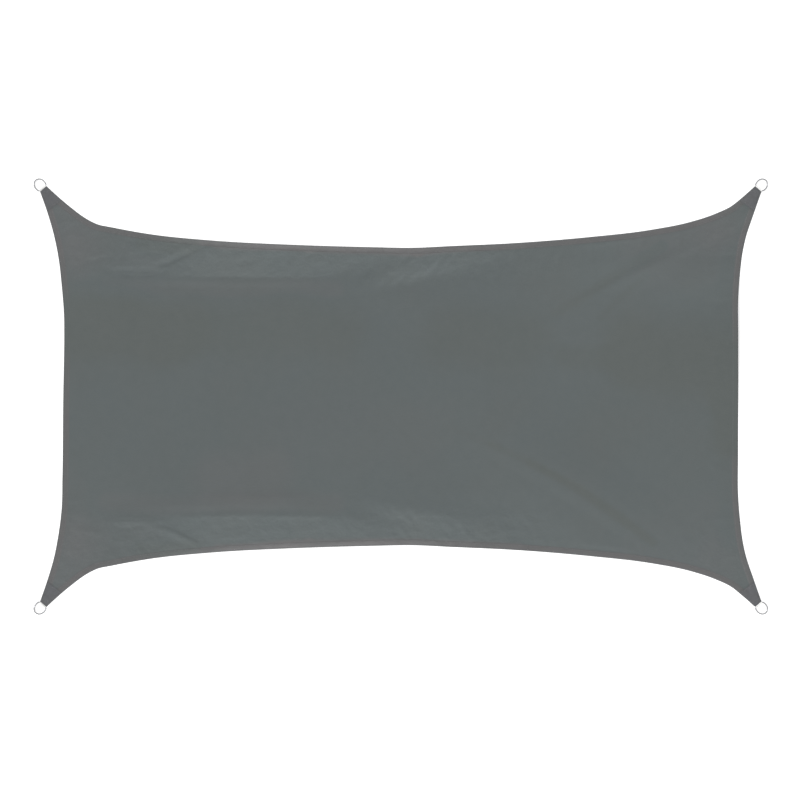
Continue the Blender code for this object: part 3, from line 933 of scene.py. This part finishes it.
def stitches_along(curve, height_at, first=0.0, last=0.0):
    """Stitches along a curve in plan, from first after its start to last before its end."""
    travelled = lengths_along(curve)[-1]
    count = max(1, round((travelled - first - last) / STITCH_PITCH))
    spots = first + (np.arange(count) + 0.5) * (travelled - first - last) / count
    places = points_at(curve, spots)
    ahead = points_at(curve, np.minimum(spots + NEARBY, travelled))
    behind = points_at(curve, np.maximum(spots - NEARBY, 0))
    directions = ahead - behind
    directions /= np.linalg.norm(directions, axis=1)[:, None]
    return stitch_mesh(places, directions, height_at(places))


def joined(parts):
    """The vertices and faces of several meshes as those of one."""
    vertices = []
    faces = []
    for more_vertices, more_faces in parts:
        shift = len(vertices)
        vertices += more_vertices
        faces += [[v + shift for v in face] for face in more_faces]
    return vertices, faces


def build_hem_stitches(edge, name, finish):
    """The two rows of stitches along one edge, as one piece."""
    parts = []
    for distance in (OUTER_ROW, INNER_ROW):
        row = shifted_left(edge, distance)

        def height(places, distance=distance):
            return underside(places) + raised(places, GATHERS) + hem_height(distance) + STITCH_RISE

        parts.append(stitches_along(row, height, PATCH_LENGTH, PATCH_LENGTH))
    return add_mesh(f"hem_stitches_{name}", *joined(parts), finish, 60)


def build_patch_stitches(tip, paths, finish):
    def height(places):
        return patch_top(places, tip, paths) + STITCH_RISE

    parts = [stitches_along(path, height) for path in paths]
    return add_mesh(f"patch_stitches_{tip.name}", *joined(parts), finish, 60)


# Materials


def linear(srgb):
    """A colour of 0 to 255 a channel, as a shader takes it."""

    def one(value):
        value /= 255
        return value / 12.92 if value <= 0.04045 else ((value + 0.055) / 1.055) ** 2.4

    return (*map(one, srgb), 1.0)


class Nodes:
    """A material's node tree, with short ways to add what the materials here share."""

    def __init__(self, name, roughness, **inputs):
        self.material = bpy.data.materials.new(name)
        self.material.use_nodes = True
        self.tree = self.material.node_tree
        self.shader = self.tree.nodes["Principled BSDF"]
        self.shader.inputs["Roughness"].default_value = roughness
        for socket, value in inputs.items():
            self.shader.inputs[socket.replace("_", " ")].default_value = value
        self.place = self.add("ShaderNodeTexCoord").outputs["Object"]

    def add(self, kind, **settings):
        node = self.tree.nodes.new(kind)
        for name, value in settings.items():
            setattr(node, name, value)
        return node

    def link(self, source, target):
        self.tree.links.new(source, target)

    def scaled(self, scale):
        """The place on the object, scaled along each axis."""
        node = self.add("ShaderNodeMapping")
        node.inputs["Scale"].default_value = scale
        self.link(self.place, node.inputs["Vector"])
        return node.outputs["Vector"]

    def noise(self, scale, detail=2.0, stretch=(1, 1, 1)):
        node = self.add("ShaderNodeTexNoise")
        node.inputs["Scale"].default_value = scale
        node.inputs["Detail"].default_value = detail
        self.link(self.scaled(stretch), node.inputs["Vector"])
        return node.outputs["Fac"]

    def wave(self, pitch, direction):
        """A sine wave across the given axis. A wave texture of scale 1 repeats every pi / 10."""
        node = self.add("ShaderNodeTexWave", bands_direction=direction, wave_profile="SIN")
        node.inputs["Scale"].default_value = math.pi / 10 / pitch
        node.inputs["Distortion"].default_value = 0.0
        self.link(self.place, node.inputs["Vector"])
        return node.outputs["Fac"]

    def math(self, operation, first, second=None):
        node = self.add("ShaderNodeMath", operation=operation)
        for socket, value in zip(node.inputs, (first, second)):
            if value is None:
                continue
            if isinstance(value, (int, float)):
                socket.default_value = value
            else:
                self.link(value, socket)
        return node.outputs[0]

    def ranged(self, value, low, high, to_low, to_high):
        """A value from low to high, turned into one from to_low to to_high."""
        node = self.add("ShaderNodeMapRange")
        self.link(value, node.inputs["Value"])
        for socket, number in zip(node.inputs[1:5], (low, high, to_low, to_high)):
            socket.default_value = number
        return node.outputs["Result"]

    def varied(self, low, high, scale, detail, stretch=(1, 1, 1)):
        """Noise that mostly runs from low to high."""
        return self.ranged(self.noise(scale, detail, stretch), *NOISE_SPAN, low, high)

    def mixed(self, share, first, second):
        """Two colours, with a share of the second. Each input is a value or a socket."""
        node = self.add("ShaderNodeMix", data_type="RGBA")
        sockets = (node.inputs[0], node.inputs[6], node.inputs[7])
        for socket, value in zip(sockets, (share, first, second)):
            if isinstance(value, (int, float, tuple)):
                socket.default_value = value
            else:
                self.link(value, socket)
        return node.outputs[2]

    def brightened(self, colour, factor):
        """A colour times a factor that varies over the surface."""
        node = self.add("ShaderNodeVectorMath", operation="SCALE")
        if isinstance(colour, tuple):
            node.inputs[0].default_value = colour[:3]
        else:
            self.link(colour, node.inputs[0])
        self.link(factor, node.inputs["Scale"])
        return node.outputs[0]

    def number(self, attribute):
        """A number that add_numbers has given to the vertices."""
        return self.add("ShaderNodeAttribute", attribute_name=attribute).outputs["Fac"]

    def bump(self, height, distance, before=None):
        node = self.add("ShaderNodeBump")
        node.inputs["Strength"].default_value = 1.0
        node.inputs["Distance"].default_value = distance
        self.link(height, node.inputs["Height"])
        if before:
            self.link(before, node.inputs["Normal"])
        return node.outputs["Normal"]

    def plain_weave(self, pitch):
        """Warp and weft that take turns on top, from 0 to 1."""
        warp = self.wave(pitch, "X")
        weft = self.wave(pitch, "Y")
        return self.math("ABSOLUTE", self.math("SUBTRACT", warp, weft))

    def finish(self, colour, normal):
        self.link(colour, self.shader.inputs["Base Color"])
        self.link(normal, self.shader.inputs["Normal"])
        return self.material


def woven_cloth(name, grey, on_sail=False):
    """Matt woven cloth, with uneven threads, soft patches of tint and small wrinkles.

    On the sail it takes its painted light and shade, its hem and its crinkle from the numbers of
    the vertices. On the sail and the patch, painted shade darkens the outermost edge.
    """
    nodes = Nodes(name, 0.82, Sheen_Weight=0.12, Sheen_Roughness=0.45, Specular_IOR_Level=0.28)
    wrinkles = nodes.noise(15, 4.0)
    distance = nodes.number("edge_distance")
    if on_sail:
        # The hem's own grey, carried in past the hem over the panel beside its inner step, as
        # painted light on that step's shadow
        hem_and_painted_step_light = nodes.ranged(distance, PANEL_IN, HEM_WIDTH - 0.002, 0.0, 1.0)
        colour = nodes.mixed(hem_and_painted_step_light, linear(grey), linear(HEM_GREY))
        # Painted shade, darker and greener, towards -1 and painted light, paler, towards 1
        tone = nodes.number("tone")
        colour = nodes.mixed(nodes.ranged(tone, 0, -1, 0, 1), colour, linear(CLOTH_PAINTED_SHADE))
        colour = nodes.mixed(nodes.ranged(tone, 0, 1, 0, 1), colour, linear(CLOTH_PAINTED_LIGHT))
        tint = nodes.ranged(nodes.noise(2.1, 3.0), 0.42, 0.70, 0.0, 0.4)
        colour = nodes.mixed(tint, colour, linear(CLOTH_WARM))
        wrinkles = nodes.math("MULTIPLY", wrinkles, nodes.number("crinkle"))
    else:
        tint = nodes.ranged(nodes.noise(9, 3.0), 0.35, 0.65, 0.0, 0.5)
        colour = nodes.mixed(tint, linear(grey), linear(HEM_GREY))
    # Painted shade on the rolled outer edge, darkest at the edge itself
    painted_edge_shade = nodes.ranged(distance, EDGE_SHADE_FROM, EDGE_SHADE_FULL, 0.0, 1.0)
    colour = nodes.mixed(painted_edge_shade, colour, linear(EDGE_PAINTED_SHADE))
    broad = nodes.varied(0.99, 1.01, 0.8, 2.0)
    slubs = nodes.varied(0.97, 1.03, 30, 2.0, (1, 18, 1))
    threads = nodes.ranged(nodes.plain_weave(WEAVE_PITCH), 0.0, 1.0, 0.94, 1.03)
    shade = nodes.math("MULTIPLY", nodes.math("MULTIPLY", broad, slubs), threads)
    rough = nodes.varied(0.76, 0.88, 14, 2.0)
    nodes.link(rough, nodes.shader.inputs["Roughness"])
    creased = nodes.bump(wrinkles, WRINKLE_RELIEF)
    weave = nodes.bump(nodes.plain_weave(WEAVE_PITCH), WEAVE_RELIEF, creased)
    return nodes.finish(nodes.brightened(colour, shade), weave)


def thread():
    nodes = Nodes("thread", 0.55, Sheen_Weight=0.1, Specular_IOR_Level=0.4)
    shade = nodes.varied(0.88, 1.1, 220, 2.0)
    twist = nodes.bump(nodes.noise(1800, 1.0), TWIST_RELIEF)
    return nodes.finish(nodes.brightened(linear(THREAD_GREY), shade), twist)


def webbing():
    nodes = Nodes("webbing", 0.62, Sheen_Weight=0.1, Specular_IOR_Level=0.35)
    shade = nodes.varied(0.94, 1.02, 120, 3.0)
    weave = nodes.bump(nodes.plain_weave(WEBBING_PITCH), WEAVE_RELIEF)
    return nodes.finish(nodes.brightened(linear(WEBBING_GREY), shade), weave)


def steel():
    nodes = Nodes("steel", 0.2, Metallic=1.0)
    shade = nodes.varied(0.95, 1.02, 60, 3.0)
    rough = nodes.varied(0.14, 0.26, 400, 2.0, (1, 1, 4))
    nodes.link(rough, nodes.shader.inputs["Roughness"])
    drawn = nodes.bump(nodes.noise(900, 1.0), DRAWN_RELIEF)
    return nodes.finish(nodes.brightened(linear(STEEL_GREY), shade), drawn)


def floor_paint():
    nodes = Nodes("floor", 0.9, Specular_IOR_Level=0.1, Emission_Strength=FLOOR_GLOW)
    nodes.shader.inputs["Emission Color"].default_value = WHITE
    nodes.shader.inputs["Base Color"].default_value = FLOOR_PALE
    return nodes.material


# The stage


def build_stage():
    half = FLOOR_SIDE / 2
    corners = [(-half, -half, 0), (half, -half, 0), (half, half, 0), (-half, half, 0)]
    add_mesh("floor", corners, [(0, 1, 2, 3)], floor_paint())
    world = bpy.data.worlds.new("studio")
    world.use_nodes = True
    background = world.node_tree.nodes["Background"]
    background.inputs["Color"].default_value = WHITE
    background.inputs["Strength"].default_value = SKY_STRENGTH
    bpy.context.scene.world = world
    bpy.context.scene.view_settings.view_transform = "Standard"


def add_area_light(name, place, target, size, watts):
    light = bpy.data.lights.new(name, "AREA")
    light.shape = "RECTANGLE"
    light.size, light.size_y = size
    light.energy = watts
    made = bpy.data.objects.new(name, light)
    made.location = place
    made.rotation_euler = (Vector(target) - Vector(place)).to_track_quat("-Z", "Y").to_euler()
    made.visible_camera = False
    made.visible_glossy = False
    bpy.context.scene.collection.objects.link(made)


def add_sun(name, azimuth, elevation, angle, strength):
    """A soft sun, with its angles in degrees and its azimuth clockwise from the rear."""
    light = bpy.data.lights.new(name, "SUN")
    light.angle = math.radians(angle)
    light.energy = strength
    made = bpy.data.objects.new(name, light)
    a, e = math.radians(azimuth), math.radians(elevation)
    towards = Vector((math.sin(a) * math.cos(e), math.cos(a) * math.cos(e), math.sin(e)))
    made.rotation_euler = (-towards).to_track_quat("-Z", "Y").to_euler()
    bpy.context.scene.collection.objects.link(made)


def build_lights():
    add_sun("key", KEY_AZIMUTH, KEY_ELEVATION, KEY_ANGLE, KEY_STRENGTH)
    middle = (0, 0, STRIP_HEIGHT)
    for name, y, watts in STRIPS:
        add_area_light(name, (0, y, STRIP_HEIGHT), middle, STRIP_SIZE, watts)


def build_camera():
    """A camera far above the sail, which looks straight down and sees what the photo shows."""
    camera = bpy.data.cameras.new("camera")
    camera.lens = camera.sensor_width * CAMERA_HEIGHT / SEEN_WIDTH
    camera.clip_end = CAMERA_REACH
    made = bpy.data.objects.new("camera", camera)
    made.location = (*SEEN_MIDDLE, CAMERA_HEIGHT)
    bpy.context.scene.collection.objects.link(made)
    bpy.context.scene.camera = made


def main():
    build_camera()
    build_stage()
    build_lights()

    cloth = woven_cloth("cloth", CLOTH_GREY, on_sail=True)
    patch_cloth = woven_cloth("patch", PATCH_GREY)
    thread_finish = thread()
    webbing_finish = webbing()
    steel_finish = steel()

    sail = build_sail(cloth)
    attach(sail, "root")
    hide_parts("sail_cloth")
    for edge, name in zip(EDGES, ("front", "right", "rear", "left")):
        row = build_hem_stitches(edge, name, thread_finish)
        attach(row, "root")

    for tip in TIPS:
        patch, paths = build_patch(tip, patch_cloth)
        sewn = build_patch_stitches(tip, paths, thread_finish)
        loop = build_webbing(tip, webbing_finish)
        ring = build_ring(tip, steel_finish)
        for piece, slot in ((patch, "patch"), (sewn, "patch"), (loop, "webbing"), (ring, "steel")):
            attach(piece, "root")
        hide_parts(f"patch_{tip.name}")
        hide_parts(f"webbing_{tip.name}")
        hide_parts(f"ring_{tip.name}")


main()
